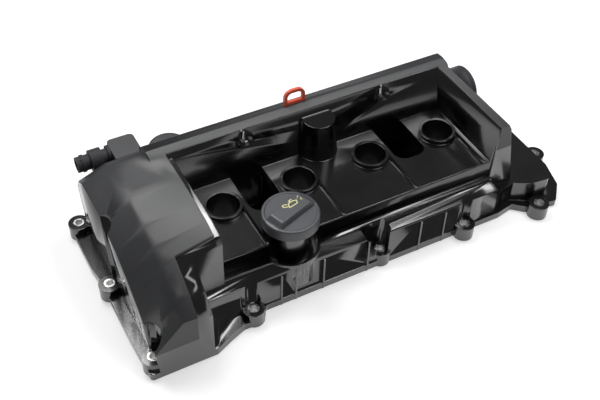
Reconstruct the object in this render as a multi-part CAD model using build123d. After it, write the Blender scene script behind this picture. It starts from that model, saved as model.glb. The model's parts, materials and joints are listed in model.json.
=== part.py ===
from build123d import *
import math
import os

# Moulded cylinder head cover of a four-cylinder engine, in millimetres, +Z up.
# X runs along the engine, +Y towards the tall back rail, z = 0 is the face that the gasket rests on.
# The origin is below the middle of the row of spark plug wells.

# Sealing flange
SEAL_PROUD = 1.0            # gasket height below the flange
FLANGE_T = 8.0
FLANGE_Z0 = SEAL_PROUD
FLANGE_Z1 = FLANGE_Z0 + FLANGE_T
LAND_W = 9.5                # width of the flange inside the wall's outer face
GROOVE_IN = 3.0             # from the wall's outer face to the gasket groove
GROOVE_W = 4.0
GROOVE_D = 3.5
SEAL_CLEAR = 0.2            # gap at each side of a gasket in its groove
SEAL_TO_BOLT = 4.5          # least distance of the walls' outline from a bolt's axis, for the gasket's path

# Walls of the moulding
WALL = 3.0
RIB_T = 2.0
RIM_DROP = 3.0              # glossy rim below the matte top of the end housing

# Spark plug wells
PLUG_PITCH = 84.0
WELL_COUNT = 4
WELL_R = 16.5
WELL_WALL = 3.0
RIM_Z = 76.0
WELL_FOOT_R = 24.0
WELL_FOOT_H = 8.0
WELL_SEAL_R = 20.5          # middle of the seal ring under each well

# Levels
SHOULDER_Z = 46.0
LEDGE_Z = 51.0
PLATEAU_Z = 71.0
TRAY_TOP_Z = 113.0
RAIL_Z = 119.0
DECK_Z = 34.0
PART_Z = 88.0               # weld plane between the cover and its upper shell

# Plan sizes
FRONT_Y = -82.0
BACK_Y = 90.0
LEFT_X = -241.0
RIGHT_X = 233.0
LEDGE_Y = -69.0
TRAY_Y0 = -63.5
TRAY_Y1 = 36.0
TRAY_X0 = -158.0
TRAY_X1 = 150.0
LOBE_X = -181.0
RAIL_X0 = -180.0            # left end of the rail, on top of the end housing
RAIL_IN_Y = 48.0
RAIL_W = 15.0               # width of the rail's end leg at the right
RAIL_END_Y = -66.0
EDGE_X = 259.0              # half length over the bolt ears at both ends
EDGE_Y = 109.0              # half width of the whole cover
LOBE_Y = -EDGE_Y            # front of the end housing
BAND_X = -187.0             # inner edge of the glossy rim in front
PANEL_X = -201.5            # inner edge of the matte top in front
STEP_Y = -70.0              # front of the end housing beside the tray
PANEL_STEP_Y = -63.0
PANEL_TRAY_X = -163.0

# Bolts, their bushes and the bosses that hold them
BOLT_R = 3.6
BUSH_R = 5.5
BUSH_PROUD = 0.6
BOSS_Z1 = 17.0
EAR_R = 11.0
SOCKET_R = 8.5              # room for the bolt head's flange
SCOOP_R = 11.5              # wider room at the end housing's bolts
FRONT_BOLTS = [(-242.5, -95.0), (-136.0, -86.5), (13.5, -75.0), (112.0, -85.0), (202.0, -96.5)]
END_BOLTS = [(-EDGE_X + EAR_R, 5.5), (EDGE_X - EAR_R, -30.0)]
BACK_BOLTS = [(x, EDGE_Y - EAR_R) for x in (-EDGE_X + EAR_R, -112.5, -10.0, 98.0, 205.0)]
POCKET_BOLTS = [(-PLUG_PITCH, 4.0), (PLUG_PITCH, 4.0)]
EDGE_BOLTS = FRONT_BOLTS + END_BOLTS + BACK_BOLTS

# Deep bolt pockets between the wells
POCKET_W = 36.0
POCKET_Y0 = -20.0
POCKET_R = 13.0
POCKET_FLOOR = 22.0

# Column in the middle of the tray's back wall
COLUMN_X = -1.0
COLUMN_R0 = 21.0
COLUMN_R1 = 17.0

# Oil filler neck and cap
FILL_X, FILL_Y = -80.5, -54.5
FILL_POCKET_R = 27.0
FILL_POCKET_Z = 40.0
NECK_R = 18.5
NECK_BORE_R = 15.0
NECK_Z1 = 81.0
CAP_GAP = 2.0               # height of the seal ring between neck and cap
CAP_R = 28.3
CAP_T = 12.0
CAP_RUN = 0.1               # running gap of the cap's plug in the neck
CAP_PLUG_D = 18.0
LUG_H = 3.0
LUG_OUT = 1.5               # how far the bayonet lugs stand out of the plug
LUG_GAP = 0.4
LUG_ARC = 50.0
CAP_TURN = 90.0
GRIP_H = 9.0
GRIP_W = 15.0

# Oil separator plate under the rail
PLATE_T = 2.0
PLATE_CLEAR = 0.5
SEP_X = [-120.0, -40.0, 40.0, 120.0]
SEP_Y = 62.0
SEP_BOSS_R = 4.0
SCREW_R = 1.9
SCREW_HEAD_R = 3.6
SCREW_HEAD_H = 2.4
SCREW_L = 10.0

# Crankcase pressure regulator behind the rail
REG_X = -146.0
REG_LID_R = 21.0
REG_R = REG_LID_R - 1.0
REG_Y = EDGE_Y - REG_LID_R
REG_WALL = 2.5
REG_Z0, REG_Z1 = 64.0, 84.0
REG_NICHE = 2.0             # gap between the lid and the rail
DIA_T = 1.2
DOME_H = 8.0
LID_WALL = 2.0
PLUNGER_R = 10.0
PLUNGER_T = 2.0
STEM_R = 2.5
STEM_H = 4.0
STEM_GAP = 0.4
SEAT_R = 6.0
SEAT_BORE_R = 4.5
REG_TRAVEL = 3.0
SEAT_GAP = 0.2
SPRING_R = 8.0
SPRING_WIRE = 0.7
SPRING_TURNS = 3

# Breather chimney and port at the back left
CHIM_X0, CHIM_X1 = -204.0, -176.0
CHIM_Y1 = EDGE_Y
CHIM_Z0, CHIM_Z1 = 60.0, 104.0
PORT_Y, PORT_Z = 98.0, 94.0
PORT_R = 8.0
PORT_BORE_R = 6.0
PORT_X0 = -239.0
PORT_RING_R = 10.5
CLIP_R = 9.6

# Round end plug on the rail's right leg
END_Y, END_Z = 33.0, 92.0
END_R = 24.0
END_HOLE_R = 19.0
END_X0, END_X1 = 176.0, 182.0
END_SEAL = 2.0

# Clip recesses and clips in the tray's back wall
CLIP_X = [-81.5, 79.0]
RECESS_R = 12.0
RECESS_Z = 104.0
CLIP_W = 12.0
CLIP_H = 9.0

# Pull loop on the rail
LOOP_X, LOOP_Y = -17.0, 60.0
LOOP_W = 24.0
LOOP_H = 18.0
LOOP_T = 3.2
LOOP_BAR = 3.6
LOOP_FOOT = 2.0             # depth of the loop's feet in the rail's top
RAIL_TOP = RAIL_Z + 1.7     # height of the rail's top at the loop


def at(x, y, z=0.0):
    return Location((x, y, z))


def box(x0, x1, y0, y1, z0, z1):
    return at(x0, y0, z0) * Box(x1 - x0, y1 - y0, z1 - z0, align=(Align.MIN, Align.MIN, Align.MIN))


def rod(x, y, z0, z1, r):
    return at(x, y, z0) * Cylinder(r, z1 - z0, align=(Align.CENTER, Align.CENTER, Align.MIN))


def tube(x, y, z0, z1, r_out, r_in):
    return rod(x, y, z0, z1, r_out) - rod(x, y, z0 - 1, z1 + 1, r_in)


def rod_x(x0, x1, y, z, r):
    return Location((x0, y, z), (0, 90, 0)) * Cylinder(r, x1 - x0, align=(Align.CENTER, Align.CENTER, Align.MIN))


def plan(points, radius=0.0):
    face = make_face(Polyline(*points, close=True))
    return fillet(face.vertices(), radius) if radius else face


def prism(face, z0, z1):
    return at(0, 0, z0) * extrude(face, z1 - z0, dir=(0, 0, 1))


def along_x(points, x0, x1, inset=0.0):
    """Solid of a YZ outline between two X positions, or of that outline moved inwards."""
    face = make_face(Polyline(*points, close=True))
    if inset:
        face = offset(face, -inset, kind=Kind.INTERSECTION)
    return Plane(origin=(x0, 0, 0), x_dir=(0, 1, 0), z_dir=(1, 0, 0)) * extrude(face, x1 - x0)


def along_y(points, y0, y1, inset=0.0):
    """Solid of an XZ outline between two Y positions, or of that outline moved inwards."""
    face = make_face(Polyline(*points, close=True))
    if inset:
        face = offset(face, -inset, kind=Kind.INTERSECTION)
    return Plane(origin=(0, y1, 0), x_dir=(1, 0, 0), z_dir=(0, -1, 0)) * extrude(face, y1 - y0)


WELLS = [((i - (WELL_COUNT - 1) / 2) * PLUG_PITCH, 0.0) for i in range(WELL_COUNT)]

# Outline of the walls where they stand on the flange
FOOT = [
    (LEFT_X, BACK_Y), (LEFT_X, LOBE_Y + 4), (LOBE_X, LOBE_Y + 4), (-177, -96), (-164, FRONT_Y - 2),
    (-148, FRONT_Y), (152, FRONT_Y), (168, -74), (182, -72), (197, -81), (222, -84), (RIGHT_X, -60),
    (RIGHT_X, BACK_Y),
]
# Outline of the flange's outer edge, without the bolt ears
EDGE = [
    (-EDGE_X + 3, 97), (-EDGE_X + 3, 40), (-EDGE_X + 6, 18), (-EDGE_X + 6, -58), (-251, -EDGE_Y), (-184, -EDGE_Y),
    (-166, -101), (-150, -95), (-128, -95), (-121, FRONT_Y - 1), (160, FRONT_Y - 1), (180, -79), (192, -90),
    (228, -96), (246, -76), (EDGE_X - 4, -44), (EDGE_X - 4, -16), (244, 8), (244, 97),
]
RAIL_PROFILE = [
    (TRAY_Y1, 20), (TRAY_Y1, PLATEAU_Z), (43, TRAY_TOP_Z), (RAIL_IN_Y, RAIL_Z), (57, RAIL_Z + 2), (67, RAIL_Z + 1),
    (76, RAIL_Z - 7), (84, RAIL_Z - 33), (BACK_Y - 1, 46), (BACK_Y, 20),
]
SHOULDER_PROFILE = [
    (FRONT_Y, 2), (FRONT_Y, SHOULDER_Z - 1), (FRONT_Y + 1, SHOULDER_Z), (LEDGE_Y, LEDGE_Z - 3),
    (LEDGE_Y, LEDGE_Z), (-40, LEDGE_Z), (-40, 2),
]
PLATEAU_PROFILE = [
    (TRAY_Y0 + 2, 20), (TRAY_Y0 + 2, LEDGE_Z), (TRAY_Y0, PLATEAU_Z - 1), (TRAY_Y0 + 1, PLATEAU_Z),
    (BACK_Y - 20, PLATEAU_Z), (BACK_Y - 20, 20),
]
LEG_X1 = TRAY_X1 + RAIL_W
LEG_PROFILE = [
    (TRAY_X1, 20), (TRAY_X1, TRAY_TOP_Z), (TRAY_X1 + 3, RAIL_Z - 1), (LEG_X1 - 2, RAIL_Z - 1), (LEG_X1 + 2, RAIL_Z - 8),
    (LEG_X1 + 20, 20),
]
# End housing along Y: station, then the heights of the side facet's edge, the crease and the inner edge
HOUSING = [
    (BACK_Y - 2, 76, 82, 82), (78, 92, 104, 106), (66, 98, 111, 117), (10, 101, 116, 118), (-25, 90, 111, 117),
    (-48, 79, 104, 115), (-64, 68, 98, 111), (-79, 57, 90, 96), (-95, 46, 81, 82), (LOBE_Y, 36, 66, 62),
]
CREASE_X = -215.0
SIDE_X = -244.0


def foot_face(inset):
    face = plan(FOOT, 5.0)
    return offset(face, -inset) if inset else face


def channels(grow):
    """Upright hollows in the walls, one beside each edge bolt."""
    cuts = [rod(x, y, BOSS_Z1 - grow, RAIL_Z + 20, (SCOOP_R if x < LOBE_X else SOCKET_R) + grow) for x, y in EDGE_BOLTS]
    x, y = FRONT_BOLTS[2]
    cuts.append(box(x - 22 - grow, x + grow, y - 20, y + SOCKET_R - 1 + grow, BOSS_Z1 - grow, RAIL_Z))
    return Part() + cuts


def pockets(grow):
    """Deep hollows for the two bolts between the wells, open to the tray."""
    made = []
    for x, _ in POCKET_BOLTS:
        w = POCKET_W / 2 + grow
        outline = plan([(x - w, POCKET_Y0 - grow), (x + w, POCKET_Y0 - grow), (x + w, TRAY_Y1), (x - w, TRAY_Y1)])
        outline = fillet(outline.vertices().sort_by(Axis.Y)[:2], POCKET_R + grow)
        made.append(prism(outline, POCKET_FLOOR - grow, PLATEAU_Z + 10))
        if grow:
            made.append(box(x - w, x + w, TRAY_Y1 - 1, TRAY_Y1 + grow, POCKET_FLOOR - grow, PLATEAU_Z + 10))
    return Part() + made


def housing(inset=0.0, drop=0.0):
    """End housing: a loft of XZ sections that arch along Y."""
    faces = []
    last = len(HOUSING) - 1
    inner_x = TRAY_X0 - inset
    for k, (y, z_side, z_crease, z_in) in enumerate(HOUSING):
        y = y - inset if k == 0 else y + inset if k == last else y
        down = drop + inset * (1.3 if z_crease > 80 else 1.7)
        pts = [
            (LEFT_X + inset, 5), (SIDE_X + inset, z_side - down), (CREASE_X, z_crease - down),
            (inner_x, z_in - down), (inner_x, 5),
        ]
        faces.append(make_face(Polyline(*[(x, y, z) for x, z in pts], close=True)))
    return loft(faces, ruled=True)


def regulator_niche(grow):
    """Room for the regulator's lid in the back of the rail, and the column that the bowl is cut into."""
    z1 = REG_Z1 + DIA_T + DOME_H + 4
    niche = rod(REG_X, REG_Y, REG_Z1 - grow, z1 + grow, REG_LID_R + REG_NICHE + grow)
    return niche + rod(REG_X, REG_Y, REG_Z0, REG_Z1, REG_R) if grow else niche


def panel_region():
    """Plan area of the matte top of the end housing, over its full height."""
    back = box(-300, PANEL_TRAY_X, PANEL_STEP_Y, 150, 0, 200)
    front = box(-300, PANEL_X, -150, PANEL_STEP_Y, 0, 200)
    return back + front


def upper_region():
    """Space of the upper shell: the end housing's top, the rail's top and back and the right leg."""
    side = [(y, z_side - 1) for y, z_side, _, _ in HOUSING]
    side = [(150, side[0][1])] + side + [(-150, side[-1][1]), (-150, 200), (150, 200)]
    left = along_x(side, -300, PANEL_TRAY_X) & panel_region()
    rail = box(PANEL_TRAY_X - 1, 300, RAIL_IN_Y, 150, PART_Z, 200)
    leg = box(TRAY_X1 + 3, 300, -150, RAIL_IN_Y + 1, PART_Z, 200)
    return left + rail + leg


def outer_body():
    low = prism(foot_face(0), FLANGE_Z0, DECK_Z)
    front = along_x(SHOULDER_PROFILE, BAND_X - WALL / 2, 152)
    mid = along_x(PLATEAU_PROFILE, TRAY_X0 - WALL, TRAY_X1 + 2)
    rail = along_x(RAIL_PROFILE, RAIL_X0, LEG_X1)
    leg = along_y(LEG_PROFILE, RAIL_END_Y, BACK_Y - 4) & along_x(
        [(RAIL_END_Y, 2), (RAIL_END_Y, RAIL_Z + 2)] + RAIL_PROFILE[4:], TRAY_X1 - 5, LEG_X1 + 30)
    step = box(BAND_X, 0, -200, STEP_Y, 0, 200)
    left = (housing() & panel_region()) + (housing(drop=RIM_DROP) - step)
    rim = rod(FILL_X, FILL_Y, 20, LEDGE_Z, FILL_POCKET_R + WALL)
    column = at(COLUMN_X, TRAY_Y1, PLATEAU_Z - 1) * Cone(
        COLUMN_R0, COLUMN_R1, TRAY_TOP_Z - PLATEAU_Z + 1, align=(Align.CENTER, Align.CENTER, Align.MIN))
    chimney = box(CHIM_X0, CHIM_X1, BACK_Y - 15, CHIM_Y1, CHIM_Z0, CHIM_Z1)
    chimney = fillet(chimney.edges().filter_by(Axis.Z), 5.0)
    end_boss = rod_x(TRAY_X1 + WALL, END_X0, END_Y, END_Z, END_R)
    body = Part() + [low, front, mid, rail, leg, left, rim, column, chimney, end_boss]
    recesses = [rod(x, TRAY_Y1, RECESS_Z, RAIL_Z + 9, RECESS_R) for x in CLIP_X]
    filler = rod(FILL_X, FILL_Y, FILL_POCKET_Z, RAIL_Z, FILL_POCKET_R)
    return body - channels(0) - pockets(0) - filler - regulator_niche(0) - recesses


def inner_body():
    low = prism(foot_face(WALL), -5, DECK_Z - WALL)
    front = along_x(SHOULDER_PROFILE, LOBE_X - 20, TRAY_X1, WALL) & box(-220, 170, -100, -30, 5, 200)
    front += box(-176, TRAY_X1, FRONT_Y + WALL, -40, -5, DECK_Z - WALL)
    mid = box(-200, LEG_X1, TRAY_Y0 + WALL + 3, BACK_Y - 6, 0, PLATEAU_Z - WALL)
    rail = along_x(RAIL_PROFILE, RAIL_X0 + WALL, LEG_X1, WALL)
    leg = along_y(LEG_PROFILE, RAIL_END_Y + WALL, BACK_Y - 12, WALL) & along_x(
        [(RAIL_END_Y, 2), (RAIL_END_Y, RAIL_Z + 2)] + RAIL_PROFILE[4:], TRAY_X1 - 5, LEG_X1 + 30, WALL)
    step = box(BAND_X - WALL, 0, -200, STEP_Y + WALL, 0, 200)
    left = housing(WALL, RIM_DROP) - step
    chimney = box(CHIM_X0 + WALL, CHIM_X1 - WALL, BACK_Y - 20, CHIM_Y1 - WALL, CHIM_Z0 + WALL, CHIM_Z1 - WALL)
    end_hole = rod_x(TRAY_X1 + RAIL_W, END_X1, END_Y, END_Z, END_HOLE_R)
    body = Part() + [low, front, mid, rail, leg, left, chimney, end_hole]
    recesses = [rod(x, TRAY_Y1, RECESS_Z - WALL, RAIL_Z + 9, RECESS_R + WALL) for x in CLIP_X]
    rim = rod(FILL_X, FILL_Y, FILL_POCKET_Z - WALL, RAIL_Z, FILL_POCKET_R + WALL)
    wells = [rod(x, y, -10, RIM_Z, WELL_R + WELL_WALL - 0.01) for x, y in WELLS]
    return body - channels(WALL) - pockets(WALL) - rim - wells - regulator_niche(WALL) - recesses


def flange():
    plate = prism(plan(EDGE, 4.0), FLANGE_Z0, FLANGE_Z1)
    ears = [rod(x, y, FLANGE_Z0, BOSS_Z1, EAR_R) for x, y in EDGE_BOLTS]
    window = prism(inside_bolts(LAND_W), 0, 50)
    return (plate + ears) - window


def inside_bolts(inset):
    """Plan area inside the walls' outline, kept clear of the bolts."""
    keep = [at(x, y) * Circle(SEAL_TO_BOLT + inset) for x, y in EDGE_BOLTS]
    return foot_face(inset) - keep


def gasket_face(clear):
    return inside_bolts(GROOVE_IN + clear) - inside_bolts(GROOVE_IN + GROOVE_W - clear)


def neck_slots():
    """Bore of the filler neck with the groove and the two entries for the cap's lugs."""
    lug_z = NECK_Z1 - CAP_PLUG_D
    r = NECK_BORE_R - CAP_RUN + LUG_OUT + LUG_GAP
    cut = rod(FILL_X, FILL_Y, 0, NECK_Z1 + 1, NECK_BORE_R)
    cut += rod(FILL_X, FILL_Y, lug_z - LUG_GAP, lug_z + LUG_H + LUG_GAP, r)
    entry = rod(FILL_X, FILL_Y, lug_z, NECK_Z1 + 1, r)
    for side in (0, 180):
        cut += entry & sector(side + CAP_TURN, LUG_ARC + 6)
    return cut


def sector(centre, arc):
    """Upright wedge about the filler axis."""
    a0, a1 = (math.radians(centre + s * arc / 2) for s in (-1, 1))
    reach = 60
    face = make_face(Polyline((0, 0), (reach * math.cos(a0), reach * math.sin(a0)),
                              (reach * math.cos(a1), reach * math.sin(a1)), close=True))
    return at(FILL_X, FILL_Y, 0) * extrude(face, 150, dir=(0, 0, 1))


def plateau_ribs():
    """Low ribs from each well to the tray's front edge."""
    ribs = [box(x + 16, x + 16 + RIB_T, TRAY_Y0 + 1, -8, PLATEAU_Z - 1, PLATEAU_Z + 3) for x, _ in WELLS]
    return Part() + ribs


def wall_ribs():
    """Upright ribs on the outside of the front wall."""
    xs = [-105, -89, -58, -7, 55, 85]
    return Part() + [box(x, x + RIB_T, FRONT_Y - 1.5, FRONT_Y + 1, FLANGE_Z0, SHOULDER_Z - 3) for x in xs]


def moulding():
    """Cover and upper shell in one, before they are parted."""
    solid = outer_body() - inner_body()
    solid += flange()
    for x, y in WELLS:
        solid += rod(x, y, FLANGE_Z0, RIM_Z, WELL_R + WELL_WALL)
        solid += rod(x, y, FLANGE_Z0, FLANGE_Z0 + WELL_FOOT_H, WELL_FOOT_R)
    for x, y in POCKET_BOLTS:
        solid += rod(x, y, FLANGE_Z0, POCKET_FLOOR, EAR_R)
    solid += rod(FILL_X, FILL_Y, FILL_POCKET_Z - WALL, NECK_Z1, NECK_R)
    solid += plateau_ribs() + wall_ribs()
    solid += rod(REG_X, REG_Y, REG_Z0, REG_Z1, REG_R)
    solid -= rod(REG_X, REG_Y, REG_Z0 + REG_WALL, REG_Z1 + 1, REG_R - REG_WALL)
    solid += rod(REG_X, REG_Y, REG_Z0, REG_Z1 - PLUNGER_T - REG_TRAVEL - SEAT_GAP, SEAT_R)
    solid -= rod(REG_X, REG_Y, REG_Z0 - 1, REG_Z1, SEAT_BORE_R)
    solid += [rod(x, SEP_Y, PART_Z, RAIL_Z - 1, SEP_BOSS_R) for x in SEP_X]
    solid -= [rod(x, SEP_Y, PART_Z - 1, PART_Z + SCREW_L, SCREW_R) for x in SEP_X]
    solid -= rod_x(CHIM_X0 - 1, CHIM_X0 + WALL + 1, PORT_Y, PORT_Z, PORT_R)
    solid -= box(LOOP_X - LOOP_W / 2, LOOP_X + LOOP_W / 2, LOOP_Y - LOOP_T / 2, LOOP_Y + LOOP_T / 2,
                 RAIL_TOP - LOOP_FOOT, RAIL_Z + 9)
    solid -= [rod(x, y, -1, RIM_Z + 1, WELL_R) for x, y in WELLS]
    solid -= [rod(x, y, -1, POCKET_FLOOR + 1, BUSH_R) for x, y in EDGE_BOLTS + POCKET_BOLTS]
    solid -= neck_slots()
    solid -= prism(gasket_face(0), 0, FLANGE_Z0 + GROOVE_D)
    for x, y in WELLS:
        half = GROOVE_W / 2
        solid -= tube(x, y, 0, FLANGE_Z0 + GROOVE_D, WELL_SEAL_R + half, WELL_SEAL_R - half)
    return solid


def save(name, shape):
    if isinstance(shape, (list, tuple, ShapeList)):
        shape = Compound(children=list(shape))
    shape.label = name
    export_step(shape, f"parts/{name}.step")


def biggest(shape):
    return max(shape.solids(), key=lambda s: s.volume)


def cap():
    z0 = NECK_Z1 + CAP_GAP
    disc = rod(FILL_X, FILL_Y, z0, z0 + CAP_T, CAP_R)
    disc = fillet(disc.edges().group_by(Axis.Z)[-1], 3.0)
    body = disc + rod(FILL_X, FILL_Y, NECK_Z1 - CAP_PLUG_D, z0, NECK_BORE_R - CAP_RUN)
    lug = rod(FILL_X, FILL_Y, NECK_Z1 - CAP_PLUG_D, NECK_Z1 - CAP_PLUG_D + LUG_H, NECK_BORE_R - CAP_RUN + LUG_OUT)
    for side in (0, 180):
        body += lug & sector(side, LUG_ARC)
    grip = at(FILL_X, FILL_Y, z0 + CAP_T - 3) * Rot(0, 0, 35) * Box(
        2 * CAP_R - 12, GRIP_W, GRIP_H, align=(Align.CENTER, Align.CENTER, Align.MIN))
    grip = fillet(grip.edges().filter_by(Axis.Z), GRIP_W / 2 - 0.5)
    body += grip
    return body - rod(FILL_X, FILL_Y, NECK_Z1 - CAP_PLUG_D - 1, z0 + 4, NECK_BORE_R - CAP_RUN - 2.5)


def spring(z0, z1):
    pitch = (z1 - z0 - 2 * SPRING_WIRE) / SPRING_TURNS
    path = Helix(pitch, pitch * SPRING_TURNS, SPRING_R)
    profile = Plane(path @ 0, z_dir=path % 0) * Circle(SPRING_WIRE)
    return at(REG_X, REG_Y, z0 + SPRING_WIRE) * sweep(profile, path)


def regulator_lid():
    z0 = REG_Z1 + DIA_T
    lid = rod(REG_X, REG_Y, z0, z0 + DOME_H, REG_LID_R)
    lid = fillet(lid.edges().group_by(Axis.Z)[-1], DOME_H - 3.0)
    return lid - rod(REG_X, REG_Y, z0 - 1, z0 + DOME_H - LID_WALL, REG_R - REG_WALL)


def plunger():
    plate = rod(REG_X, REG_Y, REG_Z1 - PLUNGER_T, REG_Z1, PLUNGER_R)
    return plate + rod(REG_X, REG_Y, REG_Z1, REG_Z1 + STEM_H, STEM_R)


def separator_plate():
    """Plate under the rail with rows of drain slots."""
    x0 = REG_X + REG_LID_R + REG_NICHE + WALL + PLATE_CLEAR
    plate = along_x(RAIL_PROFILE, x0, TRAY_X1, WALL + PLATE_CLEAR)
    plate &= box(-300, 300, -300, 300, PART_Z - PLATE_T, PART_Z)
    slots = [box(x - 14, x + 14, SEP_Y + s - 1.5, SEP_Y + s + 1.5, 0, 200) for x in (-80, 0, 80) for s in (-11, 11)]
    return plate - slots - [rod(x, SEP_Y, 0, 200, SCREW_R) for x in SEP_X]


def separator_screws():
    z = PART_Z - PLATE_T
    return [rod(x, SEP_Y, z, PART_Z + SCREW_L - 1, SCREW_R) + rod(x, SEP_Y, z - SCREW_HEAD_H, z, SCREW_HEAD_R)
            for x in SEP_X]


def breather_port():
    port = rod_x(PORT_X0, CHIM_X0 + WALL, PORT_Y, PORT_Z, PORT_R)
    port += rod_x(PORT_X0 + 5, PORT_X0 + 8, PORT_Y, PORT_Z, PORT_R + 1)
    port += rod_x(CHIM_X0 - 3, CHIM_X0, PORT_Y, PORT_Z, PORT_RING_R)
    return port - rod_x(PORT_X0 - 1, CHIM_X0 + WALL + 1, PORT_Y, PORT_Z, PORT_BORE_R)


def port_clip():
    ring = rod_x(PORT_X0 + 14, CHIM_X0 - 9, PORT_Y, PORT_Z, CLIP_R + 1.5)
    return ring - rod_x(PORT_X0, CHIM_X0, PORT_Y, PORT_Z, PORT_R)


def end_plug():
    plug = rod_x(END_X0, END_X1, END_Y, END_Z, END_R)
    plug = chamfer(plug.edges().group_by(Axis.X)[-1], 1.5)
    plug += rod_x(END_X0 - 6, END_X0, END_Y, END_Z, END_HOLE_R - END_SEAL)
    return plug - rod_x(END_X0 - 7, END_X0 + 2, END_Y, END_Z, END_HOLE_R - END_SEAL - 3)


def end_seal():
    return rod_x(END_X0 - 5, END_X0 - 2, END_Y, END_Z, END_HOLE_R) - rod_x(
        END_X0 - 6, END_X0, END_Y, END_Z, END_HOLE_R - END_SEAL)


def harness_clip(x):
    """Small fork that stands in a recess of the back wall."""
    clip = box(x - CLIP_W / 2, x + CLIP_W / 2, TRAY_Y1, TRAY_Y1 + 5, RECESS_Z, RECESS_Z + CLIP_H)
    return clip - box(x - 2.5, x + 2.5, TRAY_Y1 - 1, TRAY_Y1 + 6, RECESS_Z + 3, RECESS_Z + CLIP_H + 1)


def pull_loop():
    """Upright D-shaped loop with its feet in the rail's top."""
    top = RAIL_TOP + LOOP_H
    outer = [(-LOOP_W / 2, RAIL_TOP - LOOP_FOOT), (-LOOP_W / 2, top), (LOOP_W / 2, top), (LOOP_W / 2, RAIL_TOP - LOOP_FOOT)]
    bar = LOOP_BAR
    hole = [(-LOOP_W / 2 + bar, RAIL_TOP + bar), (-LOOP_W / 2 + bar, top - bar), (LOOP_W / 2 - bar, top - bar),
            (LOOP_W / 2 - bar, RAIL_TOP + bar)]
    body = along_y(outer, -LOOP_T / 2, LOOP_T / 2)
    body = fillet(body.edges().filter_by(Axis.Y).group_by(Axis.Z)[-1], 9.0)
    gap = along_y(hole, -LOOP_T, LOOP_T)
    gap = fillet(gap.edges().filter_by(Axis.Y).group_by(Axis.Z)[-1], 9.0 - bar)
    return at(LOOP_X, LOOP_Y, 0) * (body - gap)


def main():
    os.makedirs("parts", exist_ok=True)
    shell = moulding()
    region = upper_region()
    cover = shell - region
    upper = shell & region
    save("main_cover", biggest(cover))
    save("upper_shell", biggest(upper))
    save("flange_gasket", prism(gasket_face(SEAL_CLEAR), 0, FLANGE_Z0 + GROOVE_D))
    for i, (x, y) in enumerate(WELLS):
        half = GROOVE_W / 2 - SEAL_CLEAR
        save(f"well_seal_{i + 1}", tube(x, y, 0, FLANGE_Z0 + GROOVE_D, WELL_SEAL_R + half, WELL_SEAL_R - half))
    bushes = [tube(x, y, FLANGE_Z0, BOSS_Z1 + BUSH_PROUD, BUSH_R, BOLT_R) for x, y in EDGE_BOLTS]
    bushes += [tube(x, y, FLANGE_Z0, POCKET_FLOOR + BUSH_PROUD, BUSH_R, BOLT_R) for x, y in POCKET_BOLTS]
    save("bolt_bushes", [b.solid() for b in bushes])
    save("filler_cap", cap())
    save("filler_cap_seal", tube(FILL_X, FILL_Y, NECK_Z1, NECK_Z1 + CAP_GAP, NECK_R - 0.5, NECK_BORE_R))
    save("separator_plate", separator_plate())
    save("separator_screws", separator_screws())
    save("regulator_lid", regulator_lid())
    save("regulator_diaphragm", tube(REG_X, REG_Y, REG_Z1, REG_Z1 + DIA_T, REG_R, STEM_R + STEM_GAP))
    save("regulator_plunger", plunger())
    save("regulator_spring", spring(REG_Z0 + REG_WALL, REG_Z1 - PLUNGER_T))
    save("breather_port", breather_port())
    save("port_clip", port_clip())
    save("end_plug", end_plug())
    save("end_plug_seal", end_seal())
    for side, x in zip(("left", "right"), CLIP_X):
        save(f"harness_clip_{side}", harness_clip(x))
    save("pull_loop", pull_loop())


main()
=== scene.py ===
"""Looks of a moulded engine valve cover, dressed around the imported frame. All sizes are in metres."""
import json
import logging
import math
from dataclasses import dataclass
from enum import Enum
from typing import Any, Dict, List, Optional, Sequence, Tuple, Union

import bmesh
import bpy
import numpy as np
from mathutils import Matrix, Vector


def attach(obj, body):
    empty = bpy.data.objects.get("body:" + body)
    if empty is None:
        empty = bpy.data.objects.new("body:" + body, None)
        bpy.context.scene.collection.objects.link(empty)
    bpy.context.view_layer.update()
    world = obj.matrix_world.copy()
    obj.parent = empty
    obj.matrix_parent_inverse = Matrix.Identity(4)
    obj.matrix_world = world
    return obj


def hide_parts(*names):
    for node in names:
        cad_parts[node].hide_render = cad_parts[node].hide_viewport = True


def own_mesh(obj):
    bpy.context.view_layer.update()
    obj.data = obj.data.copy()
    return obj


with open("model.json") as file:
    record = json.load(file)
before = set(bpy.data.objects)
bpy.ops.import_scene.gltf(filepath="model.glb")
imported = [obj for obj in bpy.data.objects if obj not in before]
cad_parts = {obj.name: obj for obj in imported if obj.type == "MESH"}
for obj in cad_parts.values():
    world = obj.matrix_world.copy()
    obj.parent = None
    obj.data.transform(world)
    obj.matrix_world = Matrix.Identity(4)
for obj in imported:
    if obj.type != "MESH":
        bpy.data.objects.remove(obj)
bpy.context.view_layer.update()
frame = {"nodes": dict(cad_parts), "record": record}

MM = 0.001
LOG = logging.getLogger("cover")
Number = Union[float, "Wire"]
Colour = Tuple[float, float, float]
Point = Tuple[float, float, float]
WHITE = (1.0, 1.0, 1.0, 1.0)
MERGE = 0.004 * MM          # corners nearer than this become one
FLAT = 0.4                  # faces that meet at less than these degrees become one
BEVEL_SAMPLES = 6


class Body(Enum):
    """Bodies of the frame that a piece can ride on."""

    COVER = "cover"
    CAP = "cap"
    PLUNGER = "plunger"


class Ray(Enum):
    """Kinds of ray that the floor and the sky tell apart."""

    CAMERA = "Is Camera Ray"
    GLOSSY = "Is Glossy Ray"
    TRANSMISSION = "Is Transmission Ray"


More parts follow.
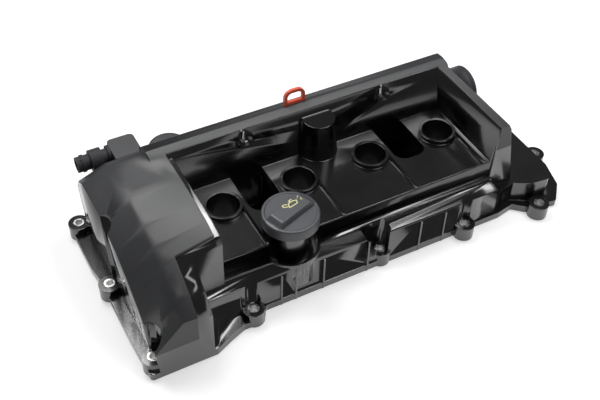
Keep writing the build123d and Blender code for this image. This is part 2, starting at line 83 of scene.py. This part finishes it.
class Wire:
    """A node's output socket that takes part in arithmetic: each operator adds its Math node."""

    def __init__(self, graph: "Graph", socket: bpy.types.NodeSocket) -> None:
        """Wraps a socket.

        Args:
            graph: the graph that the socket belongs to.
            socket: the output socket.
        """
        self.graph = graph
        self.socket = socket

    def _join(self, operation: str, left: Number, right: Number) -> "Wire":
        """Adds a Math node of two values.

        Args:
            operation: Blender's name of the operation.
            left: first value or wire.
            right: second value or wire.

        Returns:
            The wire of the node's result.
        """
        return self.graph.add("ShaderNodeMath", {"operation": operation}, {0: left, 1: right}, "Value")

    def __add__(self, other: Number) -> "Wire":
        """Adds a value or wire.

        Args:
            other: the value or wire.

        Returns:
            The wire of the sum.
        """
        return self._join("ADD", self, other)

    def __rsub__(self, other: Number) -> "Wire":
        """Takes the wire from a value on its left.

        Args:
            other: the value.

        Returns:
            The wire of the difference.
        """
        return self._join("SUBTRACT", other, self)

    def __mul__(self, other: Number) -> "Wire":
        """Multiplies by a value or wire.

        Args:
            other: the value or wire.

        Returns:
            The wire of the product.
        """
        return self._join("MULTIPLY", self, other)

    def most(self, other: Number) -> "Wire":
        """Picks the larger of the wire and another.

        Args:
            other: the value or wire.

        Returns:
            The wire of the larger.
        """
        return self._join("MAXIMUM", self, other)


class Graph:
    """Node tree of a material or world."""

    def __init__(self, tree: bpy.types.NodeTree) -> None:
        """Empties a node tree.

        Args:
            tree: the tree to build in.
        """
        self.tree = tree
        tree.nodes.clear()

    def add(
        self,
        kind: str,
        settings: Optional[Dict[str, Any]] = None,
        inputs: Optional[Dict[Union[int, str], Any]] = None,
        output: Union[int, str] = 0,
    ) -> Wire:
        """Adds one node.

        Args:
            kind: Blender's type name of the node.
            settings: properties that are set first.
            inputs: values or wires of its sockets, by name or number.
            output: the output socket that the wire is taken from.

        Returns:
            The wire of that output.
        """
        node = self.tree.nodes.new(kind)
        for name, value in (settings or {}).items():
            setattr(node, name, value)
        for name, value in (inputs or {}).items():
            if isinstance(value, Wire):
                self.tree.links.new(value.socket, node.inputs[name])
            else:
                node.inputs[name].default_value = value
        return Wire(self, node.outputs[output]) if len(node.outputs) else Wire(self, None)

    def place(self) -> Wire:
        """Object coordinates, in metres.

        Returns:
            The wire of the coordinates.
        """
        return self.add("ShaderNodeTexCoord", output="Object")

    def ray(self, *kinds: Ray) -> Wire:
        """One for rays of the given kinds, else nought.

        Args:
            kinds: the kinds of ray.

        Returns:
            The wire of the share.
        """
        wires = [self.add("ShaderNodeLightPath", output=kind.value) for kind in kinds]
        share = wires[0]
        for wire in wires[1:]:
            share = share.most(wire)
        return share

    def noise(self, scale: float, detail: float = 2.0, vector: Optional[Wire] = None) -> Wire:
        """Noise between 0 and 1.

        Args:
            scale: cells in a metre.
            detail: octaves added to the base one.
            vector: coordinates, the object's own by default.

        Returns:
            The wire of the noise value.
        """
        where = vector or self.place()
        return self.add("ShaderNodeTexNoise", {}, {"Vector": where, "Scale": scale, "Detail": detail}, "Fac")

    def blend(self, low: Colour, high: Colour, share: Wire) -> Wire:
        """Colour between two, by a share from 0 to 1.

        Args:
            low: colour at share 0.
            high: colour at share 1.
            share: the wire that mixes them.

        Returns:
            The wire of the mixed colour.
        """
        inputs = {0: share, 6: (*low, 1.0), 7: (*high, 1.0)}
        return self.add("ShaderNodeMix", {"data_type": "RGBA", "clamp_factor": True}, inputs, 2)

    def spread(self, value: Wire, low: float, high: float, out_low: float, out_high: float) -> Wire:
        """Maps a range of values to another, clamped.

        Args:
            value: the wire to map.
            low: input that gives out_low.
            high: input that gives out_high.
            out_low: result at low.
            out_high: result at high.

        Returns:
            The mapped wire.
        """
        inputs = {"Value": value, "From Min": low, "From Max": high, "To Min": out_low, "To Max": out_high}
        return self.add("ShaderNodeMapRange", {"clamp": True}, inputs, "Result")

    def rounded(self, radius: float) -> Wire:
        """Normal with its edges rounded.

        Args:
            radius: radius of the rounding in metres.

        Returns:
            The wire of the normal.
        """
        return self.add("ShaderNodeBevel", {"samples": BEVEL_SAMPLES}, {"Radius": radius}, "Normal")

    def bump(self, height: Wire, strength: float, distance: float, normal: Optional[Wire] = None) -> Wire:
        """Normal tilted by a height pattern.

        Args:
            height: the pattern, from 0 to 1.
            strength: share of the tilt that is used.
            distance: height of the pattern in metres.
            normal: the normal that it starts from.

        Returns:
            The wire of the tilted normal.
        """
        inputs: Dict[Union[int, str], Any] = {"Height": height, "Strength": strength, "Distance": distance}
        if normal:
            inputs["Normal"] = normal
        return self.add("ShaderNodeBump", {}, inputs, "Normal")

    def surface(self, inputs: Dict[Union[int, str], Any]) -> None:
        """Adds the main shader and the material's output.

        Args:
            inputs: values or wires of the shader's sockets.
        """
        shader = self.add("ShaderNodeBsdfPrincipled", {}, inputs)
        self.add("ShaderNodeOutputMaterial", {}, {"Surface": shader})


@dataclass(frozen=True)
class Finish:
    """What the finishes share: a name, and a material that is made once."""

    name: str

    def draw(self, graph: Graph) -> None:
        """Draws the finish into an empty graph. Each kind of finish has its own.

        Args:
            graph: the empty graph.
        """
        raise NotImplementedError

    def material(self) -> bpy.types.Material:
        """The finish's material, made when it is first asked for.

        Returns:
            The material.
        """
        made = bpy.data.materials.get(self.name)
        if made is None:
            made = bpy.data.materials.new(self.name)
            made.use_nodes = True
            self.draw(Graph(made.node_tree))
        return made


@dataclass(frozen=True)
class GlossMoulding(Finish):
    """Glossy black glass-filled plastic: dark, with flow marks, faint orange peel and settled dust."""

    dark: Colour = (0.0022, 0.0022, 0.0027)
    dusty: Colour = (0.010, 0.0105, 0.012)
    edge: float = 0.9 * MM
    clouds: float = 14.0
    fine: float = 900.0
    dust: float = 2600.0
    peel: float = 320.0
    roughness: Tuple[float, float] = (0.12, 0.22)
    ior: float = 1.85
    coat: float = 0.4
    coat_roughness: float = 0.07
    relief: Tuple[float, float] = (0.10, 0.12 * MM)

    def draw(self, graph: Graph) -> None:
        """Cloudy roughness from broad noise, bump from fine noise over rounded edges.

        Args:
            graph: the empty graph.
        """
        clouds = graph.noise(self.clouds, 3.0)
        fine = graph.noise(self.fine, 2.0)
        settled = graph.spread(clouds, 0.45, 0.7, 0.0, 0.6)
        dust = graph.spread(graph.noise(self.dust, 1.0), 0.66, 0.78, 0.0, 1.0) * settled
        peel = graph.noise(self.peel, 1.0) * 0.8 + fine * 0.2
        film = dust + graph.spread(clouds, 0.4, 0.8, 0.0, 0.35)
        graph.surface({
            "Base Color": graph.blend(self.dark, self.dusty, film),
            "Roughness": graph.spread(clouds, 0.3, 0.75, *self.roughness) + fine * 0.05,
            "Normal": graph.bump(peel, *self.relief, graph.rounded(self.edge)),
            "IOR": self.ior,
            "Coat Weight": self.coat,
            "Coat Roughness": self.coat_roughness,
        })


@dataclass(frozen=True)
class MatteGrain(Finish):
    """Eroded matte plastic: a fine leather-like grain, dark grey, with a few pale specks."""

    dark: Colour = (0.012, 0.0125, 0.0145)
    light: Colour = (0.026, 0.027, 0.030)
    roughness: float = 0.50
    grain: float = 1150.0
    edge: float = 1.1 * MM
    ior: float = 1.68
    broad: float = 9.0
    specks: float = 620.0
    relief: Tuple[float, float] = (0.55, 0.10 * MM)

    def draw(self, graph: Graph) -> None:
        """Grain from cells and noise, specks where a fine noise peaks.

        Args:
            graph: the empty graph.
        """
        where = graph.place()
        inputs = {"Vector": where, "Scale": self.grain}
        cells = graph.add("ShaderNodeTexVoronoi", {"feature": "F1"}, inputs, "Distance")
        fine = graph.noise(self.grain * 1.7, 2.0, where)
        broad = graph.noise(self.broad, 3.0, where)
        tone = fine * 0.55 + broad * 0.45
        specks = graph.spread(graph.noise(self.specks, 0.0, where), 0.775, 0.80, 0.0, 1.0)
        base = graph.blend(self.dark, self.light, graph.spread(tone, 0.3, 0.7, 0.0, 1.0) + specks * 1.2)
        graph.surface({
            "Base Color": base,
            "Roughness": graph.spread(broad, 0.3, 0.7, self.roughness - 0.04, self.roughness + 0.05),
            "Normal": graph.bump(cells * 0.6 + fine * 0.4, *self.relief, graph.rounded(self.edge)),
            "IOR": self.ior,
        })


@dataclass(frozen=True)
class TurnedSteel(Finish):
    """Plated steel with fine turning marks."""

    bright: Colour = (0.80, 0.80, 0.79)
    dull: Colour = (0.55, 0.55, 0.54)
    roughness: float = 0.24
    marks: float = 260.0
    stains: float = 90.0
    stretch: Point = (1.0, 1.0, 30.0)
    relief: Tuple[float, float] = (0.25, 0.05 * MM)

    def draw(self, graph: Graph) -> None:
        """Marks from noise that is drawn out across the axis.

        Args:
            graph: the empty graph.
        """
        where = graph.place()
        settings, inputs = {"operation": "MULTIPLY"}, {0: where, 1: self.stretch}
        flat = graph.add("ShaderNodeVectorMath", settings, inputs, "Vector")
        marks = graph.noise(self.marks, 4.0, flat)
        stain = graph.noise(self.stains, 2.0, where)
        graph.surface({
            "Base Color": graph.blend(self.dull, self.bright, graph.spread(stain, 0.35, 0.6, 0.2, 1.0)),
            "Roughness": graph.spread(marks, 0.3, 0.7, self.roughness - 0.06, self.roughness + 0.12),
            "Normal": graph.bump(marks, *self.relief),
            "Metallic": 1.0,
        })


@dataclass(frozen=True)
class SealRubber(Finish):
    """Black moulded rubber with a dull bloom."""

    dark: Colour = (0.014, 0.014, 0.015)
    bloom: Colour = (0.040, 0.040, 0.042)
    pebbles: float = 1500.0
    relief: Tuple[float, float] = (0.3, 0.08 * MM)

    def draw(self, graph: Graph) -> None:
        """Bloom from broad noise, a pebbled bump from fine noise.

        Args:
            graph: the empty graph.
        """
        bloom = graph.spread(graph.noise(60.0, 4.0), 0.4, 0.7, 0.0, 1.0)
        graph.surface({
            "Base Color": graph.blend(self.dark, self.bloom, bloom),
            "Roughness": graph.spread(graph.noise(200.0), 0.3, 0.7, 0.55, 0.72),
            "Normal": graph.bump(graph.noise(self.pebbles), *self.relief),
        })


@dataclass(frozen=True)
class ClearRed(Finish):
    """Translucent red plastic of the pull loop."""

    deep: Colour = (0.62, 0.035, 0.022)
    light: Colour = (0.85, 0.10, 0.055)
    edge: float = 0.5 * MM
    relief: Tuple[float, float] = (0.12, 0.08 * MM)
    glow: float = 0.25
    depth: Point = (6.0 * MM, 1.0 * MM, 1.0 * MM)

    def draw(self, graph: Graph) -> None:
        """Tone from soft noise, a slightly wavy gloss.

        Args:
            graph: the empty graph.
        """
        tone = graph.noise(160.0, 2.0)
        graph.surface({
            "Base Color": graph.blend(self.deep, self.light, graph.spread(tone, 0.3, 0.7, 0.0, 1.0)),
            "Roughness": graph.spread(tone, 0.3, 0.7, 0.26, 0.36),
            "Normal": graph.bump(graph.noise(700.0), *self.relief, graph.rounded(self.edge)),
            "Subsurface Weight": self.glow,
            "Subsurface Radius": self.depth,
        })


@dataclass(frozen=True)
class PrintedSign(Finish):
    """Pale printed ink."""

    ink: Colour = (0.74, 0.72, 0.36)
    worn: Colour = (0.42, 0.41, 0.24)

    def draw(self, graph: Graph) -> None:
        """Ink worn by fine noise.

        Args:
            graph: the empty graph.
        """
        wear = graph.noise(1300.0, 3.0)
        graph.surface({
            "Base Color": graph.blend(self.ink, self.worn, graph.spread(wear, 0.55, 0.7, 0.0, 0.8)),
            "Roughness": graph.spread(wear, 0.3, 0.7, 0.4, 0.55),
        })


GLOSS = GlossMoulding("gloss_black")
MATTE = MatteGrain("matte_grain")
SATIN = MatteGrain(
    "satin_cap", (0.050, 0.052, 0.058), (0.074, 0.076, 0.084), roughness=0.42, grain=1900.0, edge=0.7 * MM,
    ior=1.6)
TRIM = MatteGrain(
    "trim_black", (0.004, 0.004, 0.0045), (0.010, 0.010, 0.011), roughness=0.34, grain=1700.0, edge=0.5 * MM)
STEEL = TurnedSteel("plated_steel")
WIRE = TurnedSteel("spring_wire", (0.60, 0.60, 0.60), (0.40, 0.40, 0.40), 0.3)
RUBBER = SealRubber("seal_rubber")
RED = ClearRed("loop_red")
SIGN = PrintedSign("printed_sign")


class Maker:
    """Makes pieces and puts them into the scene."""

    @staticmethod
    def dress(
        piece: bpy.types.Object, finish: Finish, body: Body, slot: str, nodes: Sequence[str] = ()
    ) -> None:
        """Gives a piece its finish and its place in the frame.

        Args:
            piece: the object.
            finish: its finish.
            body: the body that it rides on.
            slot: the record's material slot; not used.
            nodes: CAD nodes that it stands for.
        """
        piece.data.materials.clear()
        piece.data.materials.append(finish.material())
        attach(piece, body.value)
        if nodes:
            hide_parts(*nodes)
        LOG.info("%s: %d faces", piece.name, len(piece.data.polygons))

    @staticmethod
    def link(name: str, mesh: bpy.types.Mesh) -> bpy.types.Object:
        """Adds a mesh to the scene as an object at the origin.

        Args:
            name: the object's name.
            mesh: its mesh.

        Returns:
            The object.
        """
        made = bpy.data.objects.new(name, mesh)
        bpy.context.scene.collection.objects.link(made)
        return made

    @staticmethod
    def smooth(mesh: bpy.types.Mesh, angle: float) -> None:
        """Shades a mesh smooth and keeps the edges over an angle sharp.

        Args:
            mesh: the mesh.
            angle: least angle of a sharp edge, in degrees.
        """
        mesh.polygons.foreach_set("use_smooth", np.ones(len(mesh.polygons), dtype=bool))
        mesh.set_sharp_from_angle(angle=math.radians(angle))
        mesh.update()

    @classmethod
    def merged(cls, node: str, name: str, angle: float = 30.0) -> bpy.types.Object:
        """Copy of a CAD node with its corners merged, so that it shades smoothly.

        Args:
            node: the CAD node.
            name: the copy's name.
            angle: least angle of a sharp edge, in degrees.

        Returns:
            The copy.
        """
        mesh = frame["nodes"][node].data.copy()
        mesh.name = name
        work = bmesh.new()
        work.from_mesh(mesh)
        bmesh.ops.remove_doubles(work, verts=work.verts, dist=MERGE)
        bmesh.ops.dissolve_limit(work, angle_limit=math.radians(FLAT), verts=work.verts, edges=work.edges)
        work.to_mesh(mesh)
        work.free()
        cls.smooth(mesh, angle)
        return cls.link(name, mesh)

    @classmethod
    def grid(
        cls, name: str, sheets: Sequence[np.ndarray], closed: bool, angle: float = 35.0
    ) -> bpy.types.Object:
        """Object of one or more grids of points, each with its faces between neighbouring points.

        Args:
            name: the object's name.
            sheets: arrays of shape (rows, columns, 3), in metres.
            closed: whether the last row joins the first.
            angle: least angle of a sharp edge, in degrees.

        Returns:
            The object.
        """
        points, faces, start = [], [], 0
        for sheet in sheets:
            rows, columns = sheet.shape[:2]
            index = np.arange(rows * columns).reshape(rows, columns)
            if closed:
                index = np.concatenate([index, index[:1]], axis=0)
            quads = np.stack([index[:-1, :-1], index[1:, :-1], index[1:, 1:], index[:-1, 1:]], axis=-1)
            points.append(sheet.reshape(-1, 3))
            faces.append(quads.reshape(-1, 4) + start)
            start += rows * columns
        mesh = bpy.data.meshes.new(name)
        mesh.from_pydata(np.concatenate(points).tolist(), [], np.concatenate(faces).tolist())
        work = bmesh.new()
        work.from_mesh(mesh)
        bmesh.ops.remove_doubles(work, verts=work.verts, dist=MERGE / 2.0)
        bmesh.ops.recalc_face_normals(work, faces=work.faces)
        work.to_mesh(mesh)
        work.free()
        cls.smooth(mesh, angle)
        return cls.link(name, mesh)


@dataclass
class Mouldings:
    """The two welded mouldings, which keep their CAD form."""

    def build(self) -> None:
        """Dresses the glossy cover and the matte upper shell."""
        cover = Maker.merged("main_cover", "cover_moulding")
        Maker.dress(cover, GLOSS, Body.COVER, "cover_gloss", ["main_cover"])
        shell = Maker.merged("upper_shell", "shell_moulding")
        Maker.dress(shell, MATTE, Body.COVER, "shell_matte", ["upper_shell"])


# Lines of the sign in millimetres from the cap's axis, each with its width as a share of the plain line's
OIL_CAN = (
    (((-3.5, 7.4), (-3.9, 10.2), (-0.9, 10.3), (1.3, 9.2)), 1.0),
    (((-3.5, 7.4), (1.9, 6.3)), 1.0),
    (((2.9, 10.4), (1.6, 4.8), (11.0, 7.2), (12.4, 12.4)), 1.0),
    (((2.9, 10.4), (8.6, 11.8), (11.2, 10.9)), 1.0),
    (((12.4, 12.4), (16.1, 15.5)), 1.0),
    (((11.2, 10.9), (15.0, 14.4)), 1.0),
    (((5.2, 11.2), (5.0, 13.5)), 1.0),
    (((2.0, 12.7), (8.2, 14.2)), 1.0),
    (((16.9, 12.4), (16.9, 9.8)), 1.0),
    (((16.9, 10.9), (16.9, 9.6)), 1.9),
)
LUG_COLUMN = 4              # place of a lug's upper edge in the cap's lower profile


@dataclass
class FillerCap:
    """Bayonet cap: a rimmed disc with a raised grip bar, over a hollow plug with two lugs, and its sign."""

    centre: Tuple[float, float] = (-80.5 * MM, -54.5 * MM)
    radius: float = 28.3 * MM
    top: float = 95.0 * MM
    foot: float = 83.0 * MM
    rim: float = 3.0 * MM
    sunk: float = 1.2 * MM
    bar_turn: float = 19.9
    bar_rise: float = 5.0 * MM
    bar_half: Tuple[float, float] = (7.7 * MM, 10.6 * MM)
    bar_ends: Tuple[float, float] = (18.5 * MM, 26.0 * MM)
    edge: float = 2.0 * MM
    plug_radius: float = 14.9 * MM
    plug_low: float = 63.0 * MM
    plug_wall: float = 2.5 * MM
    hollow_top: float = 87.0 * MM
    lug_height: float = 3.0 * MM
    lug_out: float = 1.5 * MM
    lug_arc: float = 50.0
    steps: int = 360
    rings: int = 64
    bends: int = 7
    recess_wall: float = 0.9 * MM
    foot_edge: float = 0.4 * MM
    sharp: float = 40.0
    line: float = 0.95 * MM
    ink: float = 0.10 * MM
    ribbon_step: float = 0.6 * MM
    sign_shift: Tuple[float, float] = (-2.5, -4.4)

    @staticmethod
    def ease(value: np.ndarray, low: float, high: float) -> np.ndarray:
        """Smooth step 3t^2 - 2t^3, where t runs from 0 at low to 1 at high.

        Args:
            value: the values.
            low: where the step starts.
            high: where it ends.

        Returns:
            The step at each value.
        """
        share = np.clip((value - low) / (high - low), 0.0, 1.0)
        return share * share * (3.0 - 2.0 * share)

    def height(self, x: np.ndarray, y: np.ndarray) -> np.ndarray:
        """Top surface: top - sunk * recess * (1 - bar) + rise * bar * ends, each share a smooth step.

        Args:
            x: places from the axis along X.
            y: places from the axis along Y.

        Returns:
            Heights in metres.
        """
        turn = math.radians(self.bar_turn)
        along = np.abs(x * math.cos(turn) + y * math.sin(turn))
        across = np.abs(y * math.cos(turn) - x * math.sin(turn))
        inner = self.radius - self.rim
        recess = 1.0 - self.ease(np.hypot(x, y), inner - self.recess_wall, inner)
        bar = 1.0 - self.ease(across, *self.bar_half)
        ends = 1.0 - self.ease(along, *self.bar_ends)
        return self.top - self.sunk * recess * (1.0 - bar) + self.bar_rise * bar * ends

    def build(self) -> None:
        """Builds the cap as one polar grid, (r cos a, r sin a, height), and the sign as ribbons on its bar.

        Columns run from the middle of the top over the rounded edge, down the side and the plug to the middle
        of the hollow. The two columns of the lugs stand out by lug_out where the angle lies in a lug's arc.
        """
        turn = np.linspace(0.0, 2.0 * math.pi, self.steps, endpoint=False)[:, None]
        flat = np.linspace(0.0, self.radius - self.edge, self.rings)
        bend = np.linspace(0.0, math.pi / 2.0, self.bends)[1:]
        x, y = flat * np.cos(turn), flat * np.sin(turn)
        heights = self.height(x, y)
        arc_r = self.radius - self.edge + self.edge * np.sin(bend)
        arc_z = self.edge * (np.cos(bend) - 1.0)
        lug_top = self.plug_low + self.lug_height
        bore = self.plug_radius - self.plug_wall
        low = [
            (self.radius, self.foot + self.foot_edge), (self.radius - self.foot_edge, self.foot),
            (self.plug_radius, self.foot), (self.plug_radius, lug_top), (self.plug_radius, lug_top),
            (self.plug_radius, self.plug_low), (bore, self.plug_low), (bore, self.hollow_top),
            (0.0, self.hollow_top),
        ]
        swing = np.abs((np.degrees(turn) + 90.0) % 180.0 - 90.0)
        lug = (swing <= self.lug_arc / 2.0) * self.lug_out
        radii = np.concatenate([flat, arc_r, [r for r, _ in low]])[None, :] + 0.0 * turn
        first = len(flat) + len(arc_r) + LUG_COLUMN
        radii[:, first:first + 2] += lug
        lower = np.concatenate([self.top + arc_z, [z for _, z in low]])[None, :] + 0.0 * turn
        rise = heights[:, -1:] - self.top
        lower[:, :len(bend)] += rise * (1.0 - np.sin(bend))
        levels = np.concatenate([heights, lower], axis=1)
        sheet = np.stack([
            self.centre[0] + radii * np.cos(turn), self.centre[1] + radii * np.sin(turn), levels], axis=-1)
        cap = Maker.grid("filler_cap_form", [sheet], True, self.sharp)
        Maker.dress(cap, SATIN, Body.CAP, "cap_satin", ["filler_cap"])
        self.sign()

    def sign(self) -> None:
        """Oil can with its handle, spout, cross and drop, as flat ribbons."""
        sheets = [self.ribbon(points, width * self.line) for points, width in OIL_CAN]
        piece = Maker.grid("filler_cap_symbol", sheets, False)
        Maker.dress(piece, SIGN, Body.CAP, "cap_satin")

    def ribbon(self, points: Sequence[Tuple[float, float]], width: float) -> np.ndarray:
        """Flat band along a line on the cap's top: side * width / 2 each way, an ink's height above it.

        Args:
            points: corners of the line in millimetres from the axis, as seen at the rim's height.
            width: width of the band.

        Returns:
            Array of shape (places, 2, 3).
        """
        line = (np.array(points) + self.sign_shift) * MM
        step = np.linalg.norm(np.diff(line, axis=0), axis=1)
        run = np.concatenate([[0.0], np.cumsum(step)])
        at = np.unique(np.concatenate([run, np.arange(0.0, run[-1], self.ribbon_step)]))
        middle = np.stack([np.interp(at, run, line[:, k]) for k in (0, 1)], axis=1)
        way = np.gradient(middle, axis=0)
        way /= np.linalg.norm(way, axis=1)[:, None]
        side = np.stack([-way[:, 1], way[:, 0]], axis=1) * width / 2.0
        edges = np.stack([middle - side, middle + side], axis=1)
        level = self.height(edges[..., 0], edges[..., 1]) + self.ink
        return np.concatenate([edges + self.centre, level[..., None]], axis=2)


@dataclass
class CadPieces:
    """Small pieces that keep their CAD form and only get a smooth copy and a finish."""

    spring_foot: Point = (-146.0 * MM, 88.0 * MM, 66.5 * MM)
    spring_keep: float = 12.5 / 15.5        # the spring's pressed length over its length at rest

    def build(self) -> None:
        """Dresses each piece."""
        rows = [
            ("flange_gasket", RUBBER, Body.COVER), ("separator_plate", TRIM, Body.COVER),
            ("separator_screws", STEEL, Body.COVER), ("regulator_lid", MATTE, Body.COVER),
            ("regulator_diaphragm", RUBBER, Body.COVER), ("regulator_plunger", TRIM, Body.PLUNGER),
            ("regulator_spring", WIRE, Body.COVER), ("breather_port", TRIM, Body.COVER),
            ("port_clip", TRIM, Body.COVER), ("end_plug", TRIM, Body.COVER),
            ("end_plug_seal", RUBBER, Body.COVER), ("harness_clip_left", TRIM, Body.COVER),
            ("harness_clip_right", TRIM, Body.COVER), ("filler_cap_seal", RUBBER, Body.CAP),
            ("bolt_bushes", STEEL, Body.COVER), ("pull_loop", RED, Body.COVER),
        ]
        rows += [(f"well_seal_{k}", RUBBER, Body.COVER) for k in (1, 2, 3, 4)]
        slots = {row["node"]: row["material_slot"] for row in frame["record"]["subparts"]}
        for node, finish, body in rows:
            piece = Maker.merged(node, f"{node}_dressed")
            Maker.dress(piece, finish, body, slots[node], [node])
            if node == "regulator_spring":
                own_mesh(piece)


@dataclass(frozen=True)
class Lamp:
    """Soft lamp that shines at the object's middle."""

    name: str
    place: Point
    size: Tuple[float, float]
    radiance: float
    aim: Point = (0.0, 0.0, 0.05)

    def build(self) -> None:
        """Adds the area lamp, its power worked out as pi times its area times its radiance."""
        data = bpy.data.lights.new(self.name, "AREA")
        data.shape = "RECTANGLE"
        data.size, data.size_y = self.size
        data.energy = math.pi * self.size[0] * self.size[1] * self.radiance
        lamp = bpy.data.objects.new(self.name, data)
        lamp.location = self.place
        lamp.rotation_mode = "QUATERNION"
        lamp.rotation_quaternion = (Vector(self.aim) - Vector(self.place)).to_track_quat("-Z", "X")
        bpy.context.scene.collection.objects.link(lamp)


@dataclass
class Studio:
    """Pale floor, lamps, sky and the camera of the photograph."""

    lens: float = 55.884
    sensor: float = 36.0
    eye: Point = (-0.3763, -0.5955, 0.7211)
    right: Point = (0.8816, -0.4714, 0.0232)
    down: Point = (-0.3174, -0.6284, -0.7102)
    clip: Tuple[float, float] = (0.05, 50.0)
    floor_half: float = 6.0
    floor_grey: float = 0.62
    floor_glow: float = 0.5
    sky_plain: float = 0.14
    sky_dark: float = 0.10
    horizon: float = 0.06

    def lamps(self) -> List[Lamp]:
        """A lamp behind for the matte panel's sheen, and a wide one overhead in two steps.

        Returns:
            The lamps.
        """
        return [
            Lamp("box_behind", (-0.24, 0.46, 1.10), (0.62, 0.50), 10.0),
            Lamp("wide_back", (0.43, -0.05, 1.20), (0.5, 0.66), 6.8, (0.43, -0.05, 0.0)),
            Lamp("wide_front", (0.43, -0.55, 1.20), (0.5, 0.66), 2.8, (0.43, -0.55, 0.0)),
        ]

    def sky(self) -> None:
        """White at the horizon and dark overhead for reflections, an even grey for diffuse light."""
        world = bpy.data.worlds.new("studio_sky")
        bpy.context.scene.world = world
        world.use_nodes = True
        graph = Graph(world.node_tree)
        where = graph.add("ShaderNodeTexCoord", output="Generated")
        height = graph.add("ShaderNodeSeparateXYZ", {}, {"Vector": where}, "Z")
        glow = graph.spread(height, 0.0, self.horizon, 1.0, self.sky_dark)
        glossy = graph.ray(Ray.GLOSSY)
        seen = graph.ray(Ray.CAMERA, Ray.TRANSMISSION)
        level = glossy * glow + (1.0 - glossy) * self.sky_plain
        strength = seen + (1.0 - seen) * level
        back = graph.add("ShaderNodeBackground", {}, {"Color": WHITE, "Strength": strength})
        graph.add("ShaderNodeOutputWorld", {}, {"Surface": back})

    def floor(self) -> None:
        """Wide pale floor that stays white where it is seen or reflected, and keeps the shadow."""
        half = self.floor_half
        corners = np.array([(-half, -half, 0.0), (half, -half, 0.0), (half, half, 0.0), (-half, half, 0.0)])
        mesh = bpy.data.meshes.new("floor")
        mesh.from_pydata(corners.tolist(), [], [(0, 1, 2, 3)])
        plate = Maker.link("floor", mesh)
        look = bpy.data.materials.new("pale_floor")
        look.use_nodes = True
        graph = Graph(look.node_tree)
        seen = graph.ray(Ray.CAMERA, Ray.GLOSSY, Ray.TRANSMISSION)
        diffuse = graph.add("ShaderNodeBsdfDiffuse", {}, {"Color": (*[self.floor_grey] * 3, 1.0)})
        strength = seen * self.floor_glow
        glow = graph.add("ShaderNodeEmission", {}, {"Color": WHITE, "Strength": strength})
        both = graph.add("ShaderNodeAddShader", {}, {0: diffuse, 1: glow})
        graph.add("ShaderNodeOutputMaterial", {}, {"Surface": both})
        plate.data.materials.append(look)

    def camera(self) -> None:
        """Camera from the fitted eye point and axes."""
        data = bpy.data.cameras.new("camera")
        data.lens, data.sensor_width = self.lens, self.sensor
        data.clip_start, data.clip_end = self.clip
        right, down = Vector(self.right).normalized(), Vector(self.down).normalized()
        forward = right.cross(down).normalized()
        down = forward.cross(right).normalized()
        turn = Matrix((right, -down, -forward)).transposed().to_4x4()
        camera = bpy.data.objects.new("camera", data)
        camera.matrix_world = Matrix.Translation(Vector(self.eye)) @ turn
        bpy.context.scene.collection.objects.link(camera)
        bpy.context.scene.camera = camera

    def build(self) -> None:
        """Builds the studio."""
        self.sky()
        self.floor()
        self.camera()
        for lamp in self.lamps():
            lamp.build()
        bpy.context.scene.view_settings.view_transform = "Standard"


def main() -> None:
    """Builds each sub-assembly in order."""
    logging.basicConfig(level=logging.INFO, format="%(name)s: %(message)s")
    for part in (Studio(), Mouldings(), FillerCap(), CadPieces()):
        LOG.info("building %s", type(part).__name__)
        part.build()


if __name__ == "__main__":
    main()
